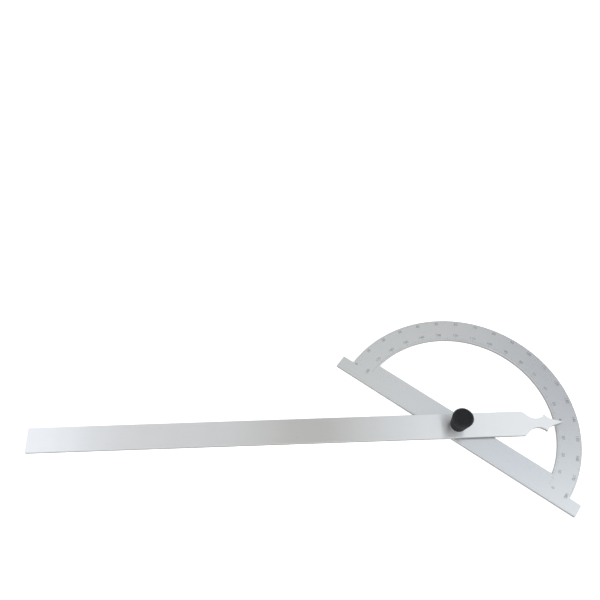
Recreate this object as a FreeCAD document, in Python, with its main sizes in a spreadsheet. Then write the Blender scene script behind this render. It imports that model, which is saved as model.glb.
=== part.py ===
import FreeCAD, Part
import Sketcher
import os
import math

# Protractor: a flat steel head (half ring on a straight base bar) with a long
# flat blade that swings over it on a central stud and is locked by a knurled
# knob.  Millimetres.  Origin: on the pivot axis, in the underside of the head.
# +X runs along the base bar, +Y from the base bar towards the ring, +Z up
# through the head, the blade and the knob.

os.makedirs("parts", exist_ok=True)
doc = FreeCAD.newDocument("protractor")

# ---------------------------------------------------------------- dimensions
sheet = doc.addObject("Spreadsheet::Sheet", "Sheet")
DIMENSIONS = [
    # head: half ring, base bar with two ears
    ("ring_outer", 70.5), ("ring_inner", 57.2),
    ("base_half", 77.25), ("base_below", 7.6), ("base_above", 7.2),
    ("head_thick", 2.0), ("head_break", 0.15),
    # flush end of the stud and its seat
    ("seat_radius", 3.5), ("seat_depth", 1.0),
    # stud
    ("journal_radius", 2.5), ("journal_top", 4.0),
    ("screw_radius", 2.0), ("stud_top", 11.4), ("stud_lead", 0.4),
    # thin bearing washer under the blade
    ("film_outer", 6.5), ("film_inner", 2.6), ("film_thick", 0.1),
    # blade
    ("blade_half", 7.35), ("blade_tail", 242.0), ("blade_thick", 2.0),
    ("blade_break", 0.15), ("blade_bore", 2.55), ("rest_angle", 38.4),
    ("shoulder_x", 38.1), ("neck_x", 41.5), ("neck_y", 4.4),
    ("barb_x", 50.9), ("barb_y", 5.16), ("needle_x", 54.8), ("needle_y", 1.8),
    ("tip_x", 60.6), ("notch_radius", 6.35), ("flank_radius", 6.25),
    # plain washer on the blade
    ("plain_outer", 4.0), ("plain_inner", 2.15), ("plain_thick", 0.5),
    # dished spring washer held on the knob
    ("spring_outer", 3.6), ("spring_inner", 2.2), ("spring_thick", 0.2),
    ("spring_dish", 0.1),
    # threaded insert of the knob
    ("insert_lift", 4.92), ("insert_outer", 3.1), ("insert_waist", 2.7),
    ("insert_bore", 2.05), ("insert_length", 6.98), ("insert_lead", 0.3),
    ("waist_low", 2.58), ("waist_high", 4.08),
    # knob
    ("knob_lift", 5.0), ("knob_height", 11.0), ("knob_low", 4.5),
    ("knob_high", 5.95), ("knob_foot", 0.3), ("knob_bevel", 0.8),
    ("rim_inner", 4.3), ("rim_step", 0.22), ("cavity_depth", 6.9),
    ("knurl_depth", 0.42), ("knurl_half", 0.37), ("knurl_over", 0.08),
    ("knurl_count", 36),
]
V = {}
for row, (alias, value) in enumerate(DIMENSIONS, start=1):
    sheet.set("A%d" % row, alias.replace("_", " "))
    sheet.set("B%d" % row, str(value))
    sheet.setAlias("B%d" % row, alias)
    V[alias] = value
doc.recompute()


# ---------------------------------------------------------------- helpers
def new_body(name):
    body = doc.addObject("PartDesign::Body", name)
    body.Label = name
    return body


def new_sketch(body, name, role, height=None):
    sketch = body.newObject("Sketcher::SketchObject", name)
    plane = [f for f in body.Origin.OriginFeatures if f.Role == role][0]
    sketch.AttachmentSupport = [(plane, "")]
    sketch.MapMode = "FlatFace"
    if height is not None:
        sketch.setExpression("AttachmentOffset.Base.z", height[1])
        sketch.AttachmentOffset = FreeCAD.Placement(
            FreeCAD.Vector(0, 0, height[0]), FreeCAD.Rotation())
    return sketch


def place_point(sketch, geo, pos, point):
    """Ties one end of a curve to its two driving distances from the origin."""
    (x, ex), (y, ey) = point
    if ex is None:
        sketch.addConstraint(Sketcher.Constraint("PointOnObject", geo, pos, -2))
    elif ex:
        index = sketch.addConstraint(
            Sketcher.Constraint("DistanceX", -1, 1, geo, pos, x))
        sketch.setExpression("Constraints[%d]" % index, ex)
    if ey is None:
        sketch.addConstraint(Sketcher.Constraint("PointOnObject", geo, pos, -1))
    elif ey:
        index = sketch.addConstraint(
            Sketcher.Constraint("DistanceY", -1, 1, geo, pos, y))
        sketch.setExpression("Constraints[%d]" % index, ey)


def outline(sketch, points, arcs=None):
    """Closed outline.  points: ((x, formula), (y, formula)), where the formula
    None means on the axis and "" means that an arc fixes it.  arcs: for the
    stretch that starts at point i, (centre, radius, formula, centred), centred
    being True where the arc is struck from the origin."""
    arcs = arcs or {}
    count = len(points)
    geos = []
    for i in range(count):
        (x0, _), (y0, _) = points[i]
        (x1, _), (y1, _) = points[(i + 1) % count]
        if i in arcs:
            (cx, cy), radius, formula, centred, ccw = arcs[i]
            a0 = math.atan2(y0 - cy, x0 - cx)
            a1 = math.atan2(y1 - cy, x1 - cx)
            circle = Part.Circle(FreeCAD.Vector(cx, cy, 0),
                                 FreeCAD.Vector(0, 0, 1), radius)
            if not ccw:
                a0, a1 = a1, a0
            if a1 < a0:
                a1 += 2 * math.pi
            geo = sketch.addGeometry(Part.ArcOfCircle(circle, a0, a1), False)
            geos.append((geo, 1 if ccw else 2, 2 if ccw else 1))
        else:
            geo = sketch.addGeometry(Part.LineSegment(
                FreeCAD.Vector(x0, y0, 0), FreeCAD.Vector(x1, y1, 0)), False)
            geos.append((geo, 1, 2))
    for i in range(count):
        geo, _, end = geos[i]
        nxt, start, _ = geos[(i + 1) % count]
        sketch.addConstraint(
            Sketcher.Constraint("Coincident", geo, end, nxt, start))
    for i, point in enumerate(points):
        place_point(sketch, geos[i][0], geos[i][1], point)
    for i, (centre, radius, formula, centred, ccw) in arcs.items():
        geo = geos[i][0]
        if centred:
            sketch.addConstraint(
                Sketcher.Constraint("Coincident", geo, 3, -1, 1))
        index = sketch.addConstraint(
            Sketcher.Constraint("Radius", geo, radius))
        sketch.setExpression("Constraints[%d]" % index, formula)
    return geos


def hole(sketch, alias):
    geo = sketch.addGeometry(Part.Circle(
        FreeCAD.Vector(0, 0, 0), FreeCAD.Vector(0, 0, 1), V[alias]), False)
    sketch.addConstraint(Sketcher.Constraint("Coincident", geo, 3, -1, 1))
    index = sketch.addConstraint(Sketcher.Constraint("Radius", geo, V[alias]))
    sketch.setExpression("Constraints[%d]" % index, "Sheet." + alias)


def pad(body, name, sketch, alias):
    feature = body.newObject("PartDesign::Pad", name)
    feature.Profile = sketch
    feature.Length = V[alias]
    feature.setExpression("Length", "Sheet." + alias)
    doc.recompute()
    return feature


def turn(body, name, sketch, kind="PartDesign::Revolution"):
    feature = body.newObject(kind, name)
    feature.Profile = sketch
    feature.ReferenceAxis = (sketch, ["V_Axis"])
    feature.Angle = 360.0
    doc.recompute()
    return feature


def break_edges(body, name, base, alias, keep):
    """Small chamfer along the edges of one feature that keep() accepts."""
    names = ["Edge%d" % (i + 1) for i, edge in enumerate(base.Shape.Edges)
             if keep(edge)]
    feature = body.newObject("PartDesign::Chamfer", name)
    feature.Base = (base, names)
    feature.Size = V[alias]
    feature.setExpression("Size", "Sheet." + alias)
    doc.recompute()
    return feature


def at(value, formula):
    return (value, formula)


def lift(body, formula):
    body.setExpression("Placement.Base.z", formula)


def S(alias):
    return at(V[alias], "Sheet." + alias)


def minus(alias):
    return at(-V[alias], "-Sheet." + alias)


AXIS = at(0.0, None)

# ---------------------------------------------------------------- head
# One flat plate: half ring, with the base bar's two ears reaching past it.
# The ears' upper edge lies on the diameter line, so the bar's lower edge and
# the diameter are parallel references.
head = new_body("arc_plate")
plan = new_sketch(head, "HeadPlan", "XY_Plane")
outline(plan, [
    (minus("base_half"), minus("base_below")),
    (S("base_half"), minus("base_below")),
    (S("base_half"), AXIS),
    (at(V["ring_outer"], ""), AXIS),
    (at(-V["ring_outer"], ""), AXIS),
    (minus("base_half"), AXIS),
], arcs={3: ((0, 0), V["ring_outer"], "Sheet.ring_outer", True, True)})
window_x = math.sqrt(V["ring_inner"] ** 2 - V["base_above"] ** 2)
outline(plan, [
    (at(window_x, ""), S("base_above")),
    (at(-window_x, ""), S("base_above")),
], arcs={0: ((0, 0), V["ring_inner"], "Sheet.ring_inner", True, True)})
hole(plan, "journal_radius")
head_pad = pad(head, "HeadPad", plan, "head_thick")

# Conical seat of the stud in the underside, round the pivot hole.
seat = new_sketch(head, "SeatProfile", "XZ_Plane")
outline(seat, [
    (AXIS, AXIS),
    (S("seat_radius"), AXIS),
    (S("journal_radius"), S("seat_depth")),
    (AXIS, S("seat_depth")),
])
before = head_pad.Shape.Volume
seat_cut = turn(head, "Seat", seat, "PartDesign::Groove")
assert seat_cut.Shape.Volume < before - 1.0

# Broken edges all round the upper face, outside and in the window.
def on_upper_face(edge):
    box = edge.BoundBox
    if abs(box.ZMin - V["head_thick"]) > 1e-6 or abs(box.ZMax - V["head_thick"]) > 1e-6:
        return False
    return max(box.XMax, -box.XMin) > 10.0

head_break = break_edges(head, "HeadBreak", seat_cut, "head_break", on_upper_face)

# ---------------------------------------------------------------- pivot stud
# Flush conical end in the underside, journal that carries the blade, and the
# screw end that takes the knob.
stud = new_body("pivot_stud")
profile = new_sketch(stud, "StudProfile", "XZ_Plane")
outline(profile, [
    (AXIS, AXIS),
    (S("seat_radius"), AXIS),
    (S("journal_radius"), S("seat_depth")),
    (S("journal_radius"), S("journal_top")),
    (S("screw_radius"), S("journal_top")),
    (S("screw_radius"), at(V["stud_top"] - V["stud_lead"], "Sheet.stud_top - Sheet.stud_lead")),
    (at(V["screw_radius"] - V["stud_lead"], "Sheet.screw_radius - Sheet.stud_lead"), S("stud_top")),
    (AXIS, S("stud_top")),
])
turn(stud, "StudTurn", profile)


# ---------------------------------------------------------------- flat rings
def ring(name, outer, inner, thick, height):
    body = new_body(name)
    sketch = new_sketch(body, name + "_plan", "XY_Plane")
    hole(sketch, outer)
    hole(sketch, inner)
    pad(body, name + "_pad", sketch, thick)
    lift(body, height)
    return body


# Thin washer between head and blade: the blade turns on it.
ring("bearing_washer", "film_outer", "film_inner", "film_thick",
     "Sheet.head_thick")
# Plain washer on the blade, under the knob.
ring("plain_washer", "plain_outer", "plain_inner", "plain_thick",
     "Sheet.head_thick + Sheet.film_thick + Sheet.blade_thick")

# ---------------------------------------------------------------- blade
# Long flat bar.  Its own +X runs from the pivot to the needle; the tail runs
# the other way.  Shoulders, two round notches that leave barbs, and a needle.
blade = new_body("blade")
plan = new_sketch(blade, "BladePlan", "XY_Plane")


def arc_centre(p, q, radius, left):
    """Centre of the arc from p to q, on the left or right of the chord."""
    mx, my = (p[0] + q[0]) / 2, (p[1] + q[1]) / 2
    dx, dy = q[0] - p[0], q[1] - p[1]
    half = math.hypot(dx, dy) / 2
    rise = math.sqrt(radius ** 2 - half ** 2)
    nx, ny = -dy / (2 * half), dx / (2 * half)
    sign = 1 if left else -1
    return (mx + sign * nx * rise, my + sign * ny * rise)


neck = (V["neck_x"], V["neck_y"])
barb = (V["barb_x"], V["barb_y"])
needle = (V["needle_x"], V["needle_y"])
low = lambda p: (p[0], -p[1])
notch_low = arc_centre(low(neck), low(barb), V["notch_radius"], False)
flank_low = arc_centre(low(barb), low(needle), V["flank_radius"], False)
flank_up = arc_centre(needle, barb, V["flank_radius"], False)
notch_up = arc_centre(barb, neck, V["notch_radius"], False)
outline(plan, [
    (minus("blade_tail"), minus("blade_half")),     # 0
    (S("shoulder_x"), minus("blade_half")),         # 1
    (S("neck_x"), minus("neck_y")),                 # 2
    (S("barb_x"), minus("barb_y")),                 # 3
    (S("needle_x"), minus("needle_y")),             # 4
    (S("tip_x"), AXIS),                             # 5
    (S("needle_x"), S("needle_y")),                 # 6
    (S("barb_x"), S("barb_y")),                     # 7
    (S("neck_x"), S("neck_y")),                     # 8
    (S("shoulder_x"), S("blade_half")),             # 9
    (minus("blade_tail"), S("blade_half")),         # 10
], arcs={
    2: (notch_low, V["notch_radius"], "Sheet.notch_radius", False, False),
    3: (flank_low, V["flank_radius"], "Sheet.flank_radius", False, False),
    6: (flank_up, V["flank_radius"], "Sheet.flank_radius", False, False),
    7: (notch_up, V["notch_radius"], "Sheet.notch_radius", False, False),
})
hole(plan, "blade_bore")
blade_pad = pad(blade, "BladePad", plan, "blade_thick")


# Broken upper edges along the bar, its square end and its shoulders.
def on_bar_edge(edge):
    box = edge.BoundBox
    if abs(box.ZMin - V["blade_thick"]) > 1e-6 or abs(box.ZMax - V["blade_thick"]) > 1e-6:
        return False
    return box.XMax < V["neck_x"] + 0.01 and max(abs(box.YMin), abs(box.YMax)) > V["neck_y"]


blade_break = break_edges(blade, "BladeBreak", blade_pad, "blade_break", on_bar_edge)
lift(blade, "Sheet.head_thick + Sheet.film_thick")
blade.setExpression("Placement.Rotation.Angle", "Sheet.rest_angle * 1 deg")

# ---------------------------------------------------------------- spring washer
# Slightly dished ring: outer rim down on the plain washer, inner rim up
# against the knob's insert.
spring = new_body("spring_washer")
profile = new_sketch(spring, "SpringProfile", "XZ_Plane")
outline(profile, [
    (S("spring_inner"), S("spring_dish")),
    (S("spring_outer"), AXIS),
    (S("spring_outer"), S("spring_thick")),
    (S("spring_inner"), at(V["spring_dish"] + V["spring_thick"],
                           "Sheet.spring_dish + Sheet.spring_thick")),
])
turn(spring, "SpringTurn", profile)
lift(spring, "Sheet.head_thick + Sheet.film_thick + Sheet.blade_thick + Sheet.plain_thick")

# ---------------------------------------------------------------- knob insert
# Brass bush with a waist that the moulded knob grips.  Its bore is the thread.
insert = new_body("knob_insert")
profile = new_sketch(insert, "InsertProfile", "XZ_Plane")
outline(profile, [
    (at(V["insert_bore"] + V["insert_lead"], "Sheet.insert_bore + Sheet.insert_lead"), AXIS),
    (S("insert_outer"), AXIS),
    (S("insert_outer"), S("waist_low")),
    (S("insert_waist"), S("waist_low")),
    (S("insert_waist"), S("waist_high")),
    (S("insert_outer"), S("waist_high")),
    (S("insert_outer"), S("insert_length")),
    (S("insert_bore"), S("insert_length")),
    (S("insert_bore"), S("insert_lead")),
])
turn(insert, "InsertTurn", profile)
lift(insert, "Sheet.insert_lift")

# ---------------------------------------------------------------- knob
# Moulded round knob, narrower at its foot, with a bevelled and slightly
# raised rim round a plain top, and straight knurling down its side.
knob = new_body("knob")
profile = new_sketch(knob, "KnobProfile", "XZ_Plane")
GAP = "Sheet.insert_lift - Sheet.knob_lift"
gap = V["insert_lift"] - V["knob_lift"]
outline(profile, [
    (S("insert_outer"), AXIS),
    (at(V["knob_low"] - V["knob_foot"], "Sheet.knob_low - Sheet.knob_foot"), AXIS),
    (S("knob_low"), S("knob_foot")),
    (S("knob_high"), at(V["knob_height"] - V["knob_bevel"], "Sheet.knob_height - Sheet.knob_bevel")),
    (at(V["knob_high"] - V["knob_bevel"], "Sheet.knob_high - Sheet.knob_bevel"), S("knob_height")),
    (S("rim_inner"), S("knob_height")),
    (at(V["rim_inner"] - V["rim_step"], "Sheet.rim_inner - Sheet.rim_step"),
     at(V["knob_height"] - V["rim_step"], "Sheet.knob_height - Sheet.rim_step")),
    (AXIS, at(V["knob_height"] - V["rim_step"], "Sheet.knob_height - Sheet.rim_step")),
    (AXIS, S("cavity_depth")),
    (S("insert_outer"), S("cavity_depth")),
    (S("insert_outer"), at(V["waist_high"] + gap, "Sheet.waist_high + %s" % GAP)),
    (S("insert_waist"), at(V["waist_high"] + gap, "Sheet.waist_high + %s" % GAP)),
    (S("insert_waist"), at(V["waist_low"] + gap, "Sheet.waist_low + %s" % GAP)),
    (S("insert_outer"), at(V["waist_low"] + gap, "Sheet.waist_low + %s" % GAP)),
])
knob_turn = turn(knob, "KnobTurn", profile)


# One V groove that follows the slope of the side, then the same all round.
def groove_section(name, height, height_formula, radius_alias, shift, shift_formula):
    sketch = new_sketch(knob, name, "XY_Plane", (height, height_formula))
    r = V[radius_alias] + shift
    formula = "Sheet.%s + %s" % (radius_alias, shift_formula)
    outline(sketch, [
        (at(r - V["knurl_depth"], "%s - Sheet.knurl_depth" % formula), AXIS),
        (at(r + V["knurl_over"], "%s + Sheet.knurl_over" % formula), minus("knurl_half")),
        (at(r + V["knurl_over"], "%s + Sheet.knurl_over" % formula), S("knurl_half")),
    ])
    return sketch


slope = "(Sheet.knob_high - Sheet.knob_low) / (Sheet.knob_height - Sheet.knob_bevel - Sheet.knob_foot)"
rate = (V["knob_high"] - V["knob_low"]) / (V["knob_height"] - V["knob_bevel"] - V["knob_foot"])
foot_cut = groove_section("KnurlFoot", -0.5, "-0.5", "knob_low",
                          -(V["knob_foot"] + 0.5) * rate,
                          "(0 - Sheet.knob_foot - 0.5) * %s" % slope)
head_cut = groove_section("KnurlHead", V["knob_height"] + 0.5, "Sheet.knob_height + 0.5",
                          "knob_high", (V["knob_bevel"] + 0.5) * rate,
                          "(Sheet.knob_bevel + 0.5) * %s" % slope)
groove = knob.newObject("PartDesign::SubtractiveLoft", "KnurlGroove")
groove.Profile = foot_cut
groove.Sections = [head_cut]
groove.Ruled = True
doc.recompute()
assert groove.Shape.Volume < knob_turn.Shape.Volume - 0.05
knurl = knob.newObject("PartDesign::PolarPattern", "Knurl")
knurl.Originals = [groove]
knurl.Axis = (profile, ["V_Axis"])
knurl.Angle = 360.0
knurl.Occurrences = int(V["knurl_count"])
knurl.setExpression("Occurrences", "Sheet.knurl_count")
knob.Tip = knurl
doc.recompute()
assert knurl.Shape.Volume < groove.Shape.Volume - 0.05 * (V["knurl_count"] - 1)
lift(knob, "Sheet.knob_lift")

# ---------------------------------------------------------------- write
doc.recompute()
bad = [o.Name for o in doc.Objects
       if any(state in ("Invalid", "Error") for state in o.State)]
if bad:
    raise RuntimeError("failed objects: " + ", ".join(bad))
bodies = [o for o in doc.Objects if o.TypeId == "PartDesign::Body"]
for body in bodies:
    if body.Shape.isNull() or not body.Shape.isValid() or not body.Shape.Solids:
        raise RuntimeError("bad shape: " + body.Label)
for body in bodies:
    body.Shape.exportStep("parts/" + body.Label + ".step")
    box = body.Shape.BoundBox
    print("%-16s %8.2f mm3  %d solid  x %.2f..%.2f  y %.2f..%.2f  z %.2f..%.2f" % (
        body.Label, body.Shape.Volume, len(body.Shape.Solids), box.XMin, box.XMax,
        box.YMin, box.YMax, box.ZMin, box.ZMax))
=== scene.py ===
import math

import bpy
import bmesh
from mathutils import Matrix, Vector


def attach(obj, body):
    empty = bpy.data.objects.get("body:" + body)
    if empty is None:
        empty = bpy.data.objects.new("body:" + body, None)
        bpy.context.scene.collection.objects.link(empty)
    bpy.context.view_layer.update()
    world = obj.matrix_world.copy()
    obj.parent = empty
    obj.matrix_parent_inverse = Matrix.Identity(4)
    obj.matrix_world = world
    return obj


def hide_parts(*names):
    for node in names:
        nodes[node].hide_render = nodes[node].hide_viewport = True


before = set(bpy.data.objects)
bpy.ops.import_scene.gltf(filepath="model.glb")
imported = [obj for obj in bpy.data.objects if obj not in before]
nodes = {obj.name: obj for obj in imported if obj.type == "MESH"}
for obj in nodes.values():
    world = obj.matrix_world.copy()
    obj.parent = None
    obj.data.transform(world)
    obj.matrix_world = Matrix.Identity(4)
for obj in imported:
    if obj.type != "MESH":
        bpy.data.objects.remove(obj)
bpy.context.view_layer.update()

MM = 0.001
scene = bpy.context.scene


# ---------------------------------------------------------------- camera
camera_data = bpy.data.cameras.new("camera")
camera_data.sensor_fit = "HORIZONTAL"
camera_data.sensor_width = 36.0
camera_data.lens = 32.975
camera_data.shift_x = 0.01544
camera_data.shift_y = 0.19982
camera_data.clip_start = 0.02
camera_data.clip_end = 50.0
camera = bpy.data.objects.new("camera", camera_data)
scene.collection.objects.link(camera)
right = Vector((0.80753, 0.58979, 0.00637))
down = Vector((0.54747, -0.74548, -0.38019))
ahead = right.cross(down).normalized()
up = -down
turned = Matrix((right, up, -ahead)).transposed().to_4x4()
camera.matrix_world = Matrix.Translation(Vector((-9.62, -150.0, 292.54)) * MM) @ turned
scene.camera = camera
scene.view_settings.view_transform = "Standard"


# ---------------------------------------------------------------- node helpers
class Net:
    """A node tree with short ways to add its nodes."""

    def __init__(self, tree):
        self.tree = tree
        tree.nodes.clear()

    def add(self, kind, **values):
        node = self.tree.nodes.new(kind)
        for key, value in values.items():
            setattr(node, key, value)
        return node

    def put(self, socket, value):
        if isinstance(value, bpy.types.NodeSocket):
            self.tree.links.new(value, socket)
        else:
            socket.default_value = value

    def math(self, operation, a, b=None, c=None, clamp=False):
        node = self.add("ShaderNodeMath", operation=operation, use_clamp=clamp)
        for socket, value in zip(node.inputs, (a, b, c)):
            if value is not None:
                self.put(socket, value)
        return node.outputs[0]

    def vector(self, operation, a, b=None, scale=None):
        node = self.add("ShaderNodeVectorMath", operation=operation)
        self.put(node.inputs[0], a)
        if b is not None:
            self.put(node.inputs[1], b)
        if scale is not None:
            self.put(node.inputs["Scale"], scale)
        return node.outputs["Value"] if operation in ("DOT_PRODUCT", "LENGTH") else node.outputs["Vector"]

    def place(self, angle=0.0, scale=(1.0, 1.0, 1.0)):
        """The object's own coordinates in millimetres, turned about Z and stretched."""
        coords = self.add("ShaderNodeTexCoord").outputs["Object"]
        turn = self.add("ShaderNodeMapping")
        turn.inputs["Rotation"].default_value = (0.0, 0.0, -angle)
        self.put(turn.inputs["Vector"], coords)
        return self.vector("MULTIPLY", turn.outputs["Vector"], tuple(1000.0 * s for s in scale))

    def noise(self, where, scale=1.0, detail=2.0, rough=0.5, distortion=0.0):
        node = self.add("ShaderNodeTexNoise")
        self.put(node.inputs["Vector"], where)
        node.inputs["Scale"].default_value = scale
        node.inputs["Detail"].default_value = detail
        node.inputs["Roughness"].default_value = rough
        node.inputs["Distortion"].default_value = distortion
        return node.outputs["Fac"]

    def cells(self, where, scale=1.0, feature="F1", spread=1.0):
        node = self.add("ShaderNodeTexVoronoi", feature=feature)
        self.put(node.inputs["Vector"], where)
        node.inputs["Scale"].default_value = scale
        node.inputs["Randomness"].default_value = spread
        return node

    def span(self, value, low, high, to_low=0.0, to_high=1.0, smooth=True):
        node = self.add("ShaderNodeMapRange", interpolation_type="SMOOTHSTEP" if smooth else "LINEAR")
        node.clamp = True
        for name, item in (("Value", value), ("From Min", low), ("From Max", high),
                           ("To Min", to_low), ("To Max", to_high)):
            self.put(node.inputs[name], item)
        return node.outputs["Result"]

    def blend(self, share, a, b, kind="MIX"):
        node = self.add("ShaderNodeMix", data_type="RGBA", blend_type=kind)
        self.put(node.inputs[0], share)
        self.put(node.inputs[6], a if isinstance(a, bpy.types.NodeSocket) else tuple(a) + (1.0,))
        self.put(node.inputs[7], b if isinstance(b, bpy.types.NodeSocket) else tuple(b) + (1.0,))
        return node.outputs[2]

    def mixed(self, share, a, b):
        """Numbers a and b mixed by share."""
        node = self.add("ShaderNodeMix", data_type="FLOAT")
        self.put(node.inputs[0], share)
        self.put(node.inputs[2], a)
        self.put(node.inputs[3], b)
        return node.outputs[0]

    def shade(self, colour, factor):
        """A colour made lighter or darker by a factor."""
        return self.vector("SCALE", colour if isinstance(colour, bpy.types.NodeSocket) else tuple(colour),
                           scale=factor)

    def around(self, value, amount):
        """Noise, about 0.5, turned into a swing about 1."""
        return self.math("MULTIPLY_ADD", value, 2.0 * amount, 1.0 - amount)

    def sideways(self):
        """1 on walls that stand up, 0 on flat faces."""
        normal = self.add("ShaderNodeNewGeometry").outputs["True Normal"]
        split = self.add("ShaderNodeSeparateXYZ")
        self.put(split.inputs[0], normal)
        return self.span(self.math("ABSOLUTE", split.outputs["Z"]), 0.25, 0.5, 1.0, 0.0)

    def part(self, vector, axis):
        split = self.add("ShaderNodeSeparateXYZ")
        self.put(split.inputs[0], vector)
        return split.outputs[axis]

    def radius(self, where):
        flat = self.vector("MULTIPLY", where, (1.0, 1.0, 0.0))
        return self.vector("LENGTH", flat)

    def bump(self, height, distance_mm, strength=1.0, under=None):
        node = self.add("ShaderNodeBump")
        node.inputs["Strength"].default_value = strength
        node.inputs["Distance"].default_value = distance_mm * MM
        self.put(node.inputs["Height"], height)
        if under is not None:
            self.put(node.inputs["Normal"], under)
        return node.outputs["Normal"]

    def smear(self, angle, wall):
        """Direction in which a highlight is drawn out: across the brushing, upright on walls."""
        across = self.vector("SCALE", (-math.sin(angle), math.cos(angle), 0.0),
                             scale=self.math("SUBTRACT", 1.0, wall))
        upright = self.vector("SCALE", (0.0, 0.0, 1.0), scale=wall)
        turn = self.add("ShaderNodeVectorTransform", vector_type="VECTOR", convert_from="OBJECT", convert_to="WORLD")
        self.put(turn.inputs[0], self.vector("ADD", across, upright))
        return turn.outputs[0]

    def surface(self, colour, rough, normal=None, metallic=1.0, specular=0.5, drawn_out=0.0, along=None):
        shader = self.add("ShaderNodeBsdfPrincipled")
        if along is not None:
            shader.inputs["Anisotropic"].default_value = drawn_out
            self.put(shader.inputs["Tangent"], along)
        self.put(shader.inputs["Base Color"], colour)
        self.put(shader.inputs["Roughness"], rough)
        shader.inputs["Metallic"].default_value = metallic
        shader.inputs["Specular IOR Level"].default_value = specular
        if normal is not None:
            self.put(shader.inputs["Normal"], normal)
        out = self.add("ShaderNodeOutputMaterial")
        self.tree.links.new(shader.outputs[0], out.inputs[0])
        return shader


def material(name):
    made = bpy.data.materials.new(name)
    made.use_nodes = True
    return made, Net(made.node_tree)


def dress(node, made):
    """Gives a CAD node its finished material."""
    for slot in nodes[node].material_slots:
        slot.material = made


# ---------------------------------------------------------------- materials
def sheet_steel(name, tone, rough, angle, low_z, high_z, drawn_out=0.0, metallic=0.80, bands=0.0):
    """Satin sheet steel: brushed faces, punched walls painted darker as painted shade, faint bands, scratches and
    handling marks.
    """
    made, net = material(name)
    fine = (0.16, 9.0, 1.0)
    broad = (0.05, 2.4, 1.0)
    hair = net.noise(net.place(angle, fine), detail=3.0, rough=0.6)
    streak = net.noise(net.place(angle, broad), detail=2.0)
    cloud = net.noise(net.place(angle, (0.05, 0.09, 1.0)), detail=3.0, rough=0.55, distortion=0.4)
    grain = net.noise(net.place(angle), scale=5.0, detail=2.0, rough=0.6)
    colour = net.shade(tone, net.around(hair, 0.02))
    colour = net.shade(colour, net.around(streak, 0.018))
    colour = net.shade(colour, net.around(cloud, 0.02))
    if bands:
        slow = (0.075, 0.006, 1.0)
        band = net.noise(net.place(angle, slow), detail=2.0)
        colour = net.shade(colour, net.around(band, bands))
    # hairline scratches, each a short thin line, in two directions
    marks = None
    for k, (turn, stretch) in enumerate(((0.5, (0.05, 2.2, 1.0)), (-0.9, (0.07, 3.1, 1.0)))):
        line = net.noise(net.place(angle + turn, stretch), detail=1.0, distortion=0.15)
        line = net.span(net.math("ABSOLUTE", net.math("SUBTRACT", line, 0.5)), 0.0, 0.012, 1.0, 0.0)
        where = net.noise(net.place(angle, (0.11, 0.11, 1.0)), scale=1.0 + k, detail=1.0)
        line = net.math("MULTIPLY", line, net.span(where, 0.56, 0.66))
        marks = line if marks is None else net.math("MAXIMUM", marks, line)
    colour = net.shade(colour, net.math("MULTIPLY_ADD", marks, -0.018, 1.0))
    # small dull specks
    speck = net.cells(net.place(angle, (0.21, 0.21, 0.21)))
    dot = net.span(speck.outputs["Distance"], 0.03, 0.075, 1.0, 0.0)
    dot = net.math("MULTIPLY", dot, net.span(net.part(speck.outputs["Color"], "X"), 0.62, 0.66))
    colour = net.shade(colour, net.math("MULTIPLY_ADD", dot, -0.16, 1.0))
    # punched walls: painted darker than the faces as painted shade; within that, a smooth paler band at the top and a
    # torn darker one below, as on a real punched edge
    wall = net.sideways()
    height = net.part(net.place(0.0), "Z")
    torn = net.noise(net.place(0.0, (2.6, 2.6, 0.35)), detail=3.0, rough=0.65)
    ragged = net.math("MULTIPLY_ADD", torn, 0.7, low_z + 0.9)
    fracture = net.span(height, net.math("SUBTRACT", ragged, 0.12), net.math("ADD", ragged, 0.12), 1.0, 0.0)
    # painted shade: both wall colours are set well below the face tone
    wall_tone_and_shade = net.blend(fracture, tuple(0.72 * c for c in tone), tuple(0.50 * c for c in tone))
    wall_tone_and_shade = net.shade(wall_tone_and_shade, net.around(torn, 0.18))
    colour = net.blend(wall, colour, wall_tone_and_shade)
    worn = net.math("MULTIPLY_ADD", hair, 0.03, rough - 0.015)
    worn = net.math("MULTIPLY_ADD", cloud, 0.03, net.math("SUBTRACT", worn, 0.015))
    worn = net.math("MULTIPLY_ADD", dot, 0.15, worn)
    worn = net.math("MULTIPLY_ADD", marks, 0.015, worn)
    worn = net.mixed(wall, worn, net.mixed(fracture, 0.38, 0.58))
    relief = net.math("MULTIPLY_ADD", grain, 0.4, hair)
    normal = net.bump(relief, 0.0005)
    normal = net.bump(net.math("MULTIPLY", torn, wall), 0.03, under=normal)
    along = net.smear(angle, wall) if drawn_out else None
    net.surface(colour, worn, normal, metallic=metallic, drawn_out=drawn_out, along=along)
    return made


BLADE_TURN = math.radians(38.4)
head_steel = sheet_steel("head_steel_satin", (0.62, 0.62, 0.62), 0.28, 0.0, 0.0, 2.0)
blade_steel = sheet_steel("blade_steel_satin", (0.78, 0.78, 0.78), 0.36, BLADE_TURN, 2.1, 4.1, drawn_out=1.0, bands=0.03)


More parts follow.
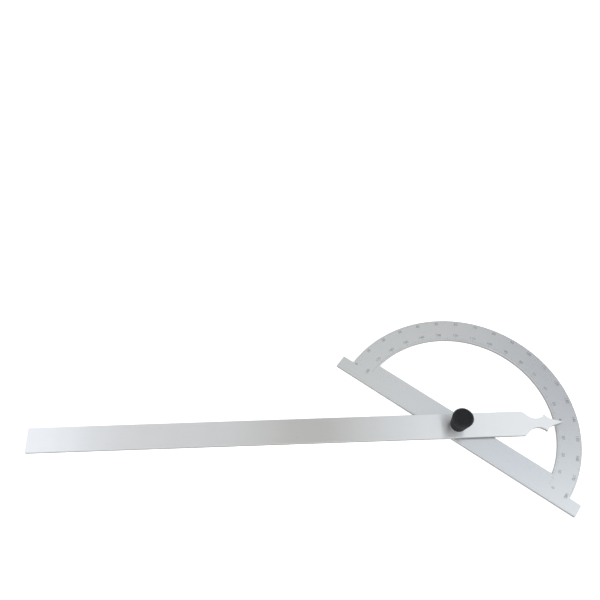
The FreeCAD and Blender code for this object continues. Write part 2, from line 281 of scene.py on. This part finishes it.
def turned_metal(name, tone, rough, pitch, metallic=1.0, dull=0.0):
    """Metal turned on a lathe: fine rings round the axis, some wear and dull patches."""
    made, net = material(name)
    where = net.place(0.0)
    wobble = net.noise(where, scale=0.9, detail=2.0)
    ring = net.math("MULTIPLY_ADD", wobble, 0.35, net.radius(where))
    wave = net.math("SINE", net.math("MULTIPLY", ring, 2.0 * math.pi / pitch))
    along = net.math("SINE", net.math("MULTIPLY", net.part(where, "Z"), 2.0 * math.pi / pitch))
    wall = net.sideways()
    lathe = net.math("MULTIPLY_ADD", net.mixed(wall, wave, along), 0.5, 0.5)
    cloud = net.noise(where, scale=0.8, detail=3.0, rough=0.6)
    grain = net.noise(where, scale=7.0, detail=2.0)
    colour = net.shade(tone, net.around(lathe, 0.05))
    colour = net.shade(colour, net.around(cloud, 0.10 + dull))
    worn = net.math("MULTIPLY_ADD", cloud, 0.16, rough - 0.08)
    worn = net.math("MULTIPLY_ADD", lathe, 0.06, worn)
    relief = net.math("MULTIPLY_ADD", grain, 0.3, lathe)
    net.surface(colour, worn, net.bump(relief, 0.002), metallic=metallic)
    return made


stud_steel = turned_metal("stud_steel_turned", (0.60, 0.60, 0.605), 0.30, 0.16)
washer_steel = turned_metal("washer_plated", (0.72, 0.735, 0.76), 0.20, 0.22)
spring_steel = turned_metal("spring_steel_plain", (0.36, 0.36, 0.37), 0.36, 0.3, dull=0.08)
brass = turned_metal("brass_turned", (0.72, 0.55, 0.27), 0.27, 0.14)


def film_plastic():
    """Thin natural plastic, a little cloudy and rubbed."""
    made, net = material("film_natural")
    where = net.place(0.0)
    cloud = net.noise(where, scale=0.6, detail=3.0)
    rub = net.noise(net.place(0.4, (3.0, 0.4, 1.0)), detail=2.0)
    colour = net.blend(net.span(cloud, 0.3, 0.7), (0.80, 0.79, 0.74), (0.70, 0.68, 0.62))
    colour = net.shade(colour, net.around(rub, 0.05))
    rough = net.math("MULTIPLY_ADD", rub, 0.2, 0.36)
    net.surface(colour, rough, net.bump(cloud, 0.004), metallic=0.0)
    return made


def knob_plastic():
    """Black moulded plastic: fine moulded grain, crests of the knurl rubbed paler, dust in the grooves."""
    made, net = material("knob_black_moulded")
    where = net.place(0.0)
    height = net.part(where, "Z")
    radius = net.radius(where)
    # depth below the crest of the knurl, 0 at the crest and 1 in the groove
    crest = net.math("MULTIPLY_ADD", net.math("SUBTRACT", height, 5.3), 1.45 / 9.9, 4.5)
    depth = net.math("DIVIDE", net.math("SUBTRACT", crest, radius), 0.42, clamp=True)
    side = net.sideways()
    grain = net.noise(where, scale=3.2, detail=4.0, rough=0.65)
    cloud = net.noise(where, scale=0.35, detail=3.0, rough=0.6)
    dust = net.noise(where, scale=1.6, detail=4.0, rough=0.7)
    base = net.blend(net.span(cloud, 0.3, 0.7), (0.0110, 0.0115, 0.0125), (0.0160, 0.0165, 0.0175))
    rubbed = net.math("MULTIPLY", side, net.span(depth, 0.30, 0.0))
    rubbed = net.math("MULTIPLY", rubbed, net.span(dust, 0.40, 0.62))
    base = net.blend(net.math("MULTIPLY", rubbed, 0.75), base, (0.036, 0.038, 0.041))
    settled = net.math("MULTIPLY", net.math("MULTIPLY", side, net.span(depth, 0.55, 1.0)), net.span(dust, 0.50, 0.68))
    base = net.blend(net.math("MULTIPLY", settled, 0.45), base, (0.060, 0.058, 0.054))
    # rim and flat top: a little paler where fingers and the bench have rubbed
    flat = net.math("SUBTRACT", 1.0, side)
    rim = net.math("MULTIPLY", flat, net.span(radius, 4.2, 5.1))
    rim = net.math("MULTIPLY", rim, net.span(dust, 0.42, 0.60))
    base = net.blend(net.math("MULTIPLY", rim, 0.6), base, (0.040, 0.041, 0.043))
    fleck = net.cells(net.vector("MULTIPLY", where, (0.9, 0.9, 0.9)))
    fleck_dot = net.span(fleck.outputs["Distance"], 0.05, 0.12, 1.0, 0.0)
    fleck_dot = net.math("MULTIPLY", fleck_dot, net.span(net.part(fleck.outputs["Color"], "X"), 0.55, 0.6))
    base = net.blend(net.math("MULTIPLY", fleck_dot, 0.35), base, (0.05, 0.05, 0.05))
    rough = net.math("MULTIPLY_ADD", grain, 0.20, 0.44)
    rough = net.math("MULTIPLY_ADD", settled, 0.2, rough)
    rough = net.math("MULTIPLY_ADD", rubbed, -0.08, rough)
    normal = net.bump(grain, 0.035)
    net.surface(base, rough, normal, metallic=0.0, specular=0.16)
    return made


def mark_ink():
    """The dark filling of the etched scale: uneven, a little worn away."""
    made, net = material("scale_etched")
    where = net.place(0.0)
    wear = net.noise(where, scale=1.1, detail=4.0, rough=0.65)
    slow = net.noise(where, scale=0.06, detail=2.0)
    worn = net.math("MULTIPLY_ADD", slow, 0.5, net.math("MULTIPLY", wear, 0.6))
    colour = net.blend(net.span(worn, 0.42, 0.72), (0.15, 0.155, 0.16), (0.36, 0.365, 0.37))
    rough = net.math("MULTIPLY_ADD", wear, 0.25, 0.42)
    net.surface(colour, rough, net.bump(wear, 0.003), metallic=0.25)
    return made


film = film_plastic()
black = knob_plastic()
ink = mark_ink()
dress("arc_plate", head_steel)
dress("blade", blade_steel)
dress("pivot_stud", stud_steel)
dress("bearing_washer", film)
dress("plain_washer", washer_steel)
dress("spring_washer", spring_steel)
dress("knob_insert", brass)
dress("knob", black)


# ---------------------------------------------------------------- scale on the half ring
PLATE_TOP = 2.0
MARK_LOW, MARK_HIGH = PLATE_TOP - 0.004, PLATE_TOP + 0.012


def polar(radius, degrees):
    a = math.radians(degrees)
    return radius * math.cos(a), radius * math.sin(a)


def piece(name, mesh, made, body):
    obj = bpy.data.objects.new(name, mesh)
    scene.collection.objects.link(obj)
    mesh.materials.append(made)
    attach(obj, body)
    return obj


def bar(bm, p, q, width):
    """A thin flat bar from p to q on the plate, in millimetres."""
    (x0, y0), (x1, y1) = p, q
    length = math.hypot(x1 - x0, y1 - y0)
    nx, ny = -(y1 - y0) / length * width / 2, (x1 - x0) / length * width / 2
    ring = [(x0 - nx, y0 - ny), (x1 - nx, y1 - ny), (x1 + nx, y1 + ny), (x0 + nx, y0 + ny)]
    low = [bm.verts.new((x * MM, y * MM, MARK_LOW * MM)) for x, y in ring]
    high = [bm.verts.new((x * MM, y * MM, MARK_HIGH * MM)) for x, y in ring]
    bm.faces.new(high)
    bm.faces.new(low[::-1])
    for i in range(4):
        j = (i + 1) % 4
        bm.faces.new((low[i], low[j], high[j], high[i]))


lines = bmesh.new()
for degree in range(0, 181):
    if degree in (0, 180):
        continue
    ten, five = degree % 10 == 0, degree % 5 == 0
    width = 0.13 if five else 0.10
    bar(lines, polar(70.2, degree), polar(69.95 - (0.25 if five else 0.0) - 0.6, degree), width)
    reach = 59.0 if ten else (58.7 if five else 58.2)
    bar(lines, polar(57.42, degree), polar(reach, degree), width)
mesh = bpy.data.meshes.new("scale_lines")
lines.to_mesh(mesh)
lines.free()
scale_lines = piece("scale_lines", mesh, ink, "head")


def numeral(bm, text, radius, degrees, tall):
    """A number on the plate, its top away from the pivot."""
    curve = bpy.data.curves.new("numeral", "FONT")
    curve.body = text
    curve.size = tall / 0.729 * MM
    curve.align_x = "CENTER"
    curve.align_y = "CENTER"
    curve.extrude = (MARK_HIGH - MARK_LOW) / 2 * MM
    curve.offset = 0.014 * MM
    curve.resolution_u = 3
    holder = bpy.data.objects.new("numeral", curve)
    scene.collection.objects.link(holder)
    bpy.context.view_layer.update()
    flat = bpy.data.meshes.new_from_object(holder.evaluated_get(bpy.context.evaluated_depsgraph_get()))
    low = Vector([min(v.co[i] for v in flat.vertices) for i in range(3)])
    high = Vector([max(v.co[i] for v in flat.vertices) for i in range(3)])
    middle = (low + high) / 2
    x, y = polar(radius, degrees)
    flat.transform(Matrix.Translation((x * MM, y * MM, (MARK_LOW + MARK_HIGH) / 2 * MM))
                   @ Matrix.Rotation(math.radians(degrees - 90.0), 4, "Z")
                   @ Matrix.Translation(-middle))
    bm.from_mesh(flat)
    bpy.data.objects.remove(holder)
    bpy.data.curves.remove(curve)
    bpy.data.meshes.remove(flat)


figures = bmesh.new()
for degree in range(0, 181, 10):
    outer, inner = str(180 - degree), str(degree)
    numeral(figures, outer, 68.2, degree, 1.7)
    numeral(figures, inner, 60.3, degree, 1.7)
bmesh.ops.remove_doubles(figures, verts=figures.verts, dist=1e-8)
mesh = bpy.data.meshes.new("scale_numbers")
figures.to_mesh(mesh)
figures.free()
scale_numbers = piece("scale_numbers", mesh, ink, "head")


# ---------------------------------------------------------------- stud with its thread cut
def threaded_stud():
    """The stud as the CAD has it, with the 0.7 mm thread cut into its screw end."""
    pitch, crest, root = 0.7, 2.0, 1.60
    bottom, top, lead = 4.0, 11.4, 0.4
    around = 56
    rows = [(3.42, 0.0), (3.5, 0.023), (2.5, 1.0), (2.5, 4.0)]
    count = 118
    profile = []
    for r, z in rows:
        profile.append([(r, z)] * around)
    for j in range(count + 1):
        z = bottom + (top - bottom) * j / count
        ring = []
        for i in range(around):
            turn = (z / pitch - i / around) % 1.0
            flank = abs(turn - 0.5) * 2.0
            r = root + (crest - root) * min(1.0, max(0.0, (flank - 0.12) / 0.70))
            start = min(1.0, max(0.0, (z - bottom - 0.25) / 0.5))
            r = 1.66 + (r - 1.66) * start
            r = min(r, crest - lead + (top - z)) if z > top - lead else r
            ring.append((r, z))
        profile.append(ring)
    bm = bmesh.new()
    grid = []
    for ring in profile:
        grid.append([bm.verts.new((r * math.cos(2 * math.pi * i / around) * MM,
                                   r * math.sin(2 * math.pi * i / around) * MM, z * MM))
                     for i, (r, z) in enumerate(ring)])
    for a, b in zip(grid, grid[1:]):
        for i in range(around):
            j = (i + 1) % around
            bm.faces.new((a[i], a[j], b[j], b[i]))
    bm.faces.new(grid[0][::-1])
    bm.faces.new(grid[-1])
    mesh = bpy.data.meshes.new("stud_threaded")
    bm.to_mesh(mesh)
    bm.free()
    for face in mesh.polygons:
        face.use_smooth = True
    mesh.set_sharp_from_angle(angle=math.radians(32.0))
    return mesh


stud = piece("stud_threaded", threaded_stud(), stud_steel, "head")
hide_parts("pivot_stud")


# ---------------------------------------------------------------- floor and light
def floor_material():
    """Plain white paper, seen from above only."""
    made, net = material("floor_paper")
    where = net.place(0.0)
    fibre = net.noise(where, scale=0.8, detail=3.0)
    shader = net.add("ShaderNodeBsdfPrincipled")
    net.put(shader.inputs["Base Color"], net.shade((0.93, 0.93, 0.93), net.around(fibre, 0.01)))
    shader.inputs["Roughness"].default_value = 0.9
    shader.inputs["Specular IOR Level"].default_value = 0.1
    shader.inputs["Emission Color"].default_value = (1.0, 1.0, 1.0, 1.0)
    shader.inputs["Emission Strength"].default_value = 0.55
    below = net.add("ShaderNodeBsdfTransparent")
    side = net.add("ShaderNodeNewGeometry").outputs["Backfacing"]
    both = net.add("ShaderNodeMixShader")
    net.tree.links.new(side, both.inputs[0])
    net.tree.links.new(shader.outputs[0], both.inputs[1])
    net.tree.links.new(below.outputs[0], both.inputs[2])
    out = net.add("ShaderNodeOutputMaterial")
    net.tree.links.new(both.outputs[0], out.inputs[0])
    return made


ground = bmesh.new()
bmesh.ops.create_circle(ground, cap_ends=True, segments=96, radius=6.0)
for vertex in ground.verts:
    vertex.co.z = -0.00002
mesh = bpy.data.meshes.new("floor")
ground.to_mesh(mesh)
ground.free()
mesh.materials.append(floor_material())
floor = bpy.data.objects.new("floor", mesh)
scene.collection.objects.link(floor)

# White studio light all round, with broad lights and a few broad dark flags
# overhead.  Each line: slope towards +X, slope towards +Y, width in degrees,
# strength in red, green and blue.
SOFT_LIGHTS = [
    (0.36, 0.24, 8.0, (0.303, 0.488, 0.597)),
    (0.36, 1.08, 8.0, (-0.625, -0.648, -0.671)),
    (0.72, 0.0, 8.0, (-0.666, -0.559, -0.594)),
    (-0.6, 1.08, 8.0, (-0.437, -0.408, -0.341)),
    (0.72, 0.24, 13.0, (1.249, 1.179, 1.125)),
    (0.72, -0.12, 8.0, (1.189, 1.158, 1.268)),
]
# Long strip lights and flags overhead.  Each line: bearing, distance from straight
# up as a sine, half width as a sine, strength in red, green and blue.
STRIP_LIGHTS = [
    (38.4, -0.42, 0.08, (0.660, 0.720, 0.824)),
    (38.4, 0.06, 0.08, (-0.350, -0.380, -0.475)),
    (90.0, 0.42, 0.08, (0.435, 0.531, 0.597)),
    (0.0, 0.12, 0.08, (-0.233, -0.186, -0.104)),
]
ALL_ROUND = (0.80, 0.80, 0.80)

world = bpy.data.worlds.new("studio")
scene.world = world
world.use_nodes = True
net = Net(world.node_tree)
direction = net.vector("NORMALIZE", net.add("ShaderNodeTexCoord").outputs["Generated"])
total = (0.0, 0.0, 0.0)
for slope_x, slope_y, width, strength in SOFT_LIGHTS:
    centre = Vector((slope_x, slope_y, 1.0)).normalized()
    sharp = 1.0 / math.radians(width) ** 2
    near = net.vector("DOT_PRODUCT", direction, tuple(centre))
    lobe = net.math("EXPONENT", net.math("MULTIPLY_ADD", near, sharp, -sharp))
    total = net.vector("ADD", total, net.vector("SCALE", strength, scale=lobe))
for bearing, distance, width, strength in STRIP_LIGHTS:
    bearing = math.radians(bearing)
    offset = net.vector("DOT_PRODUCT", direction, (math.cos(bearing), math.sin(bearing), 0.0))
    offset = net.math("MULTIPLY_ADD", offset, 1.0 / width, -distance / width)
    strip = net.math("EXPONENT", net.math("MULTIPLY", net.math("MULTIPLY", offset, offset), -1.0))
    total = net.vector("ADD", total, net.vector("SCALE", strength, scale=strip))
overhead = net.span(net.part(direction, "Z"), 0.12, 0.32)
total = net.vector("ADD", ALL_ROUND, net.vector("SCALE", total, scale=overhead))
total = net.vector("MAXIMUM", total, (0.15, 0.15, 0.15))
background = net.add("ShaderNodeBackground")
net.put(background.inputs["Color"], total)
background.inputs["Strength"].default_value = 1.0
# The backdrop is plain: the lights show only in what they light.
backdrop = net.add("ShaderNodeBackground")
backdrop.inputs["Color"].default_value = (0.74, 0.74, 0.74, 1.0)
backdrop.inputs["Strength"].default_value = 1.0
either = net.add("ShaderNodeMixShader")
net.tree.links.new(net.add("ShaderNodeLightPath").outputs["Is Camera Ray"], either.inputs[0])
net.tree.links.new(background.outputs[0], either.inputs[1])
net.tree.links.new(backdrop.outputs[0], either.inputs[2])
out = net.add("ShaderNodeOutputWorld")
net.tree.links.new(either.outputs[0], out.inputs[0])
